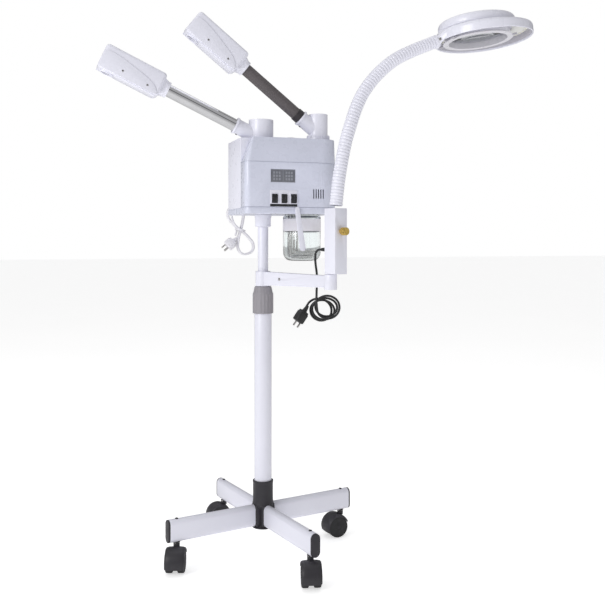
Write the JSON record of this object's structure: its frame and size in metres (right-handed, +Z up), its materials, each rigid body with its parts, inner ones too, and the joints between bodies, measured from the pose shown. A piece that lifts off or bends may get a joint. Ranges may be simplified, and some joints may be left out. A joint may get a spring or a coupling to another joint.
{
  "type": "facial steamer",
  "caption": "Salon facial steamer on a castor stand, with hot and cold steam arms, a glass water jar and a gooseneck magnifier lamp.",
  "frame": {"origin": "on the floor, on the column's axis", "axes": "+Z up the column, -Y towards the operator, +X towards the magnifier lamp"},
  "size_m": [0.9242, 0.571, 1.224],
  "materials": {
    "white_powder_coat": "satin powder coat",
    "white_moulding": "glossy moulding",
    "front_moulding": "glossy pale blue-grey moulding",
    "black_plastic": "fine grain",
    "collar_grey": "moulded grey",
    "rocker_black": "glossy",
    "window_smoke": "smoked window",
    "board_green": "lacquered board",
    "steel": "polished",
    "chrome": "polished",
    "dark_mesh_tube": "woven sleeve",
    "brass": "knurled",
    "neck_sleeve": "ribbed white",
    "lamp_moulding": "glossy",
    "lamp_trim": "satin grey",
    "lens": "clear",
    "led_white": "white board",
    "jar_glass": "clear",
    "white_cord": "soft PVC",
    "black_cord": "soft PVC"
  },
  "bodies": {
    "stand": {"base_hub": "black_plastic", "legs": "white_powder_coat", "leg_caps": "black_plastic", "outer_column": "white_powder_coat", "column_bush": "white_moulding"},
    "castor_1": {"castor_hood_1": "black_plastic"},
    "wheels_1": {"castor_wheels_1": "black_plastic"},
    "castor_2": {"castor_hood_2": "black_plastic"},
    "wheels_2": {"castor_wheels_2": "black_plastic"},
    "castor_3": {"castor_hood_3": "black_plastic"},
    "wheels_3": {"castor_wheels_3": "black_plastic"},
    "castor_4": {"castor_hood_4": "black_plastic"},
    "wheels_4": {"castor_wheels_4": "black_plastic"},
    "collar": {"clamp_collar": "collar_grey"},
    "steamer": {"inner_column": "white_powder_coat", "pole_socket": "white_moulding", "base_tray": "front_moulding", "rear_shell": "white_moulding", "front_cover": "front_moulding", "upper_cover": "front_moulding", "display_window": "window_smoke", "switch_panel": "white_moulding", "control_board": "board_green", "heater_element": "steel", "cold_steam_tank": "white_moulding", "white_cord_gland": "white_cord", "white_cord": "white_cord", "white_cord_hank": "white_cord", "white_plug": "white_cord"},
    "switch_1": {"rocker_1": "rocker_black"},
    "switch_2": {"rocker_2": "rocker_black"},
    "switch_3": {"rocker_3": "rocker_black"},
    "jar": {"water_jar": "jar_glass"},
    "lever": {"jar_lever": "white_moulding"},
    "cap": {"filler_cap": "white_moulding"},
    "hot_arm": {"hot_turret": "white_moulding", "hot_tube": "chrome"},
    "hot_nozzle": {"hot_head": "white_moulding"},
    "cold_arm": {"cold_turret": "white_moulding", "cold_tube": "dark_mesh_tube"},
    "cold_nozzle": {"cold_head": "white_moulding"},
    "bracket": {"lamp_bracket": "white_powder_coat", "bracket_screw": "steel"},
    "post": {"lamp_post": "white_powder_coat", "gooseneck_base": "neck_sleeve", "black_cord_gland": "black_cord", "black_cord": "black_cord", "black_cord_hank": "black_cord", "black_plug": "black_cord"},
    "knob": {"clamp_knob": "brass"},
    "neck_1": {"gooseneck_link_1": "neck_sleeve"},
    "neck_2": {"gooseneck_link_2": "neck_sleeve"},
    "neck_3": {"gooseneck_link_3": "neck_sleeve"},
    "neck_4": {"gooseneck_link_4": "neck_sleeve"},
    "lamp": {"lamp_yoke": "lamp_moulding", "lamp_housing": "lamp_moulding", "lens_ring": "lamp_trim", "magnifier_lens": "lens", "led_board": "led_white"},
    "lid": {"lens_lid": "lamp_moulding"}
  },
  "joints": [
    {"name": "castor_swivel_1", "type": "hinge", "parent": "stand", "child": "castor_1", "pos_m": [0.20795, 0.0461, 0.06], "axis": [0, 0, 1], "continuous": true},
    {"name": "wheel_roll_1", "type": "hinge", "parent": "castor_1", "child": "wheels_1", "pos_m": [0.19407, 0.04427, 0.025], "axis": [0.1305, -0.9914, 0], "continuous": true},
    {"name": "castor_swivel_2", "type": "hinge", "parent": "stand", "child": "castor_2", "pos_m": [-0.0461, 0.20795, 0.06], "axis": [0, 0, 1], "continuous": true},
    {"name": "wheel_roll_2", "type": "hinge", "parent": "castor_2", "child": "wheels_2", "pos_m": [-0.06009, 0.20734, 0.025], "axis": [0.0436, -0.999, 0], "continuous": true},
    {"name": "castor_swivel_3", "type": "hinge", "parent": "stand", "child": "castor_3", "pos_m": [-0.20795, -0.0461, 0.06], "axis": [0, 0, 1], "continuous": true},
    {"name": "wheel_roll_3", "type": "hinge", "parent": "castor_3", "child": "wheels_3", "pos_m": [-0.21216, -0.05945, 0.025], "axis": [0.9537, -0.3007, 0], "continuous": true},
    {"name": "castor_swivel_4", "type": "hinge", "parent": "stand", "child": "castor_4", "pos_m": [0.0461, -0.20795, 0.06], "axis": [0, 0, 1], "continuous": true},
    {"name": "wheel_roll_4", "type": "hinge", "parent": "castor_4", "child": "wheels_4", "pos_m": [0.04283, -0.22156, 0.025], "axis": [0.9724, -0.2334, 0], "continuous": true},
    {"name": "collar_twist", "type": "hinge", "parent": "stand", "child": "collar", "pos_m": [0, 0, 0.58], "axis": [0, 0, 1], "range_deg": [0, 120]},
    {"name": "column_lift", "type": "slide", "parent": "stand", "child": "steamer", "axis": [0, 0, 1], "range_m": [0, 0.2]},
    {"name": "rocker_tilt_1", "type": "hinge", "parent": "steamer", "child": "switch_1", "pos_m": [0.001, -0.092, 0.812], "axis": [1, 0, 0], "range_deg": [-8, 8]},
    {"name": "rocker_tilt_2", "type": "hinge", "parent": "steamer", "child": "switch_2", "pos_m": [0.023, -0.092, 0.812], "axis": [1, 0, 0], "range_deg": [-8, 8]},
    {"name": "rocker_tilt_3", "type": "hinge", "parent": "steamer", "child": "switch_3", "pos_m": [0.045, -0.092, 0.812], "axis": [1, 0, 0], "range_deg": [-8, 8]},
    {"name": "jar_drop", "type": "slide", "parent": "steamer", "child": "jar", "axis": [0, 0, -1], "range_m": [0, 0.11]},
    {"name": "lever_swing", "type": "hinge", "parent": "steamer", "child": "lever", "pos_m": [0.052, -0.0975, 0.789], "axis": [0, 1, 0], "range_deg": [0, 75]},
    {"name": "filler_cap_lift", "type": "slide", "parent": "steamer", "child": "cap", "axis": [0, 0, 1], "range_m": [0, 0.018]},
    {"name": "hot_arm_swivel", "type": "hinge", "parent": "steamer", "child": "hot_arm", "pos_m": [-0.01, -0.02, 0.95], "axis": [0, 0, 1], "range_deg": [-45, 45]},
    {"name": "hot_head_roll", "type": "hinge", "parent": "hot_arm", "child": "hot_nozzle", "pos_m": [-0.23414, -0.02, 1.05607], "axis": [-0.9063, 0, 0.4226], "range_deg": [-90, 90]},
    {"name": "cold_arm_swivel", "type": "hinge", "parent": "steamer", "child": "cold_arm", "pos_m": [0.126, -0.026, 0.95], "axis": [0, 0, 1], "range_deg": [-45, 45]},
    {"name": "cold_head_roll", "type": "hinge", "parent": "cold_arm", "child": "cold_nozzle", "pos_m": [-0.05787, -0.026, 1.11505], "axis": [-0.7826, 0, 0.6225], "range_deg": [-90, 90]},
    {"name": "bracket_swing", "type": "hinge", "parent": "stand", "child": "bracket", "pos_m": [0, 0, 0.63], "axis": [0, 0, 1], "range_deg": [-40, 30]},
    {"name": "lamp_post_swivel", "type": "hinge", "parent": "bracket", "child": "post", "pos_m": [0.08766, -0.21696, 0.64], "axis": [0, 0, 1], "range_deg": [-80, 3]},
    {"name": "clamp_knob_turn", "type": "hinge", "parent": "post", "child": "knob", "pos_m": [0.09964, -0.24663, 0.738], "axis": [0.3746, -0.9272, 0], "continuous": true},
    {"name": "gooseneck_bend_1", "type": "hinge", "parent": "post", "child": "neck_1", "pos_m": [0.104, -0.2318, 0.868], "axis": [0, -1, 0], "range_deg": [-12, 8]},
    {"name": "gooseneck_bend_2", "type": "hinge", "parent": "neck_1", "child": "neck_2", "pos_m": [0.123, -0.2318, 0.95], "axis": [0, -1, 0], "range_deg": [-12, 8]},
    {"name": "gooseneck_bend_3", "type": "hinge", "parent": "neck_2", "child": "neck_3", "pos_m": [0.158, -0.2318, 1.034], "axis": [0, -1, 0], "range_deg": [-12, 8]},
    {"name": "gooseneck_bend_4", "type": "hinge", "parent": "neck_3", "child": "neck_4", "pos_m": [0.224, -0.2318, 1.102], "axis": [0, -1, 0], "range_deg": [-12, 8]},
    {"name": "lamp_tilt", "type": "hinge", "parent": "neck_4", "child": "lamp", "pos_m": [0.318, -0.2318, 1.148], "axis": [0, -1, 0], "range_deg": [-35, 25]},
    {"name": "lid_flip", "type": "hinge", "parent": "lamp", "child": "lid", "pos_m": [0.34114, -0.23105, 1.17741], "axis": [-0.0046, -0.9986, 0.0521], "range_deg": [0, 85]}
  ]
}
